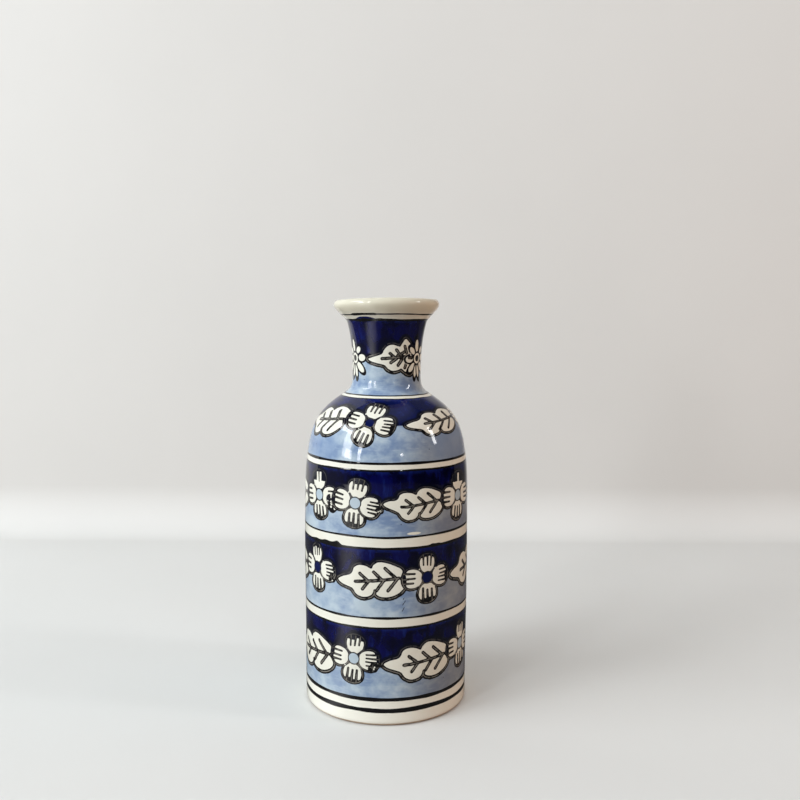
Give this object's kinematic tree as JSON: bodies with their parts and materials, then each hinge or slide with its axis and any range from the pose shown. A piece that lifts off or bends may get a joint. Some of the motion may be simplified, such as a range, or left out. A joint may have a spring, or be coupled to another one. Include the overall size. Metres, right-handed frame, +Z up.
{
  "type": "bottle vase",
  "caption": "Hand-painted glazed ceramic bottle vase: cylindrical body, round shoulder, waisted neck with a flared lip, cobalt and pale blue bands with raised garlands of flowers and leaves.",
  "frame": {"origin": "centre of the resting plane, on the vase's axis", "axes": "+Z up along the vase's axis; the front of the painting faces -Y; +X is to the right seen from the front"},
  "size_m": [0.1028, 0.1028, 0.25],
  "materials": {
    "biscuit": "matte",
    "cream_glaze": "gloss",
    "cobalt_glaze": "gloss",
    "pale_blue_glaze": "gloss",
    "raised_painting": "gloss",
    "black_glaze": "gloss"
  },
  "bodies": {
    "root": {"clay_body": "biscuit", "inner_glaze": "cream_glaze", "base_glaze": "cream_glaze", "lip_glaze": "cream_glaze", "collar_glaze": "cream_glaze", "neck_cobalt_glaze": "cobalt_glaze", "neck_pale_blue_glaze": "pale_blue_glaze", "neck_garland": "raised_painting", "neck_stripe_glaze": "cream_glaze", "shoulder_cobalt_glaze": "cobalt_glaze", "shoulder_pale_blue_glaze": "pale_blue_glaze", "shoulder_garland": "raised_painting", "shoulder_stripe_glaze": "cream_glaze", "upper_cobalt_glaze": "cobalt_glaze", "upper_pale_blue_glaze": "pale_blue_glaze", "upper_garland": "raised_painting", "upper_stripe_glaze": "cream_glaze", "middle_cobalt_glaze": "cobalt_glaze", "middle_pale_blue_glaze": "pale_blue_glaze", "middle_garland": "raised_painting", "middle_stripe_glaze": "cream_glaze", "lower_cobalt_glaze": "cobalt_glaze", "lower_pale_blue_glaze": "pale_blue_glaze", "lower_garland": "raised_painting", "upper_foot_line": "black_glaze", "foot_stripe_glaze": "cream_glaze", "lower_foot_line": "black_glaze", "foot_glaze": "cream_glaze"}
  },
  "joints": []
}
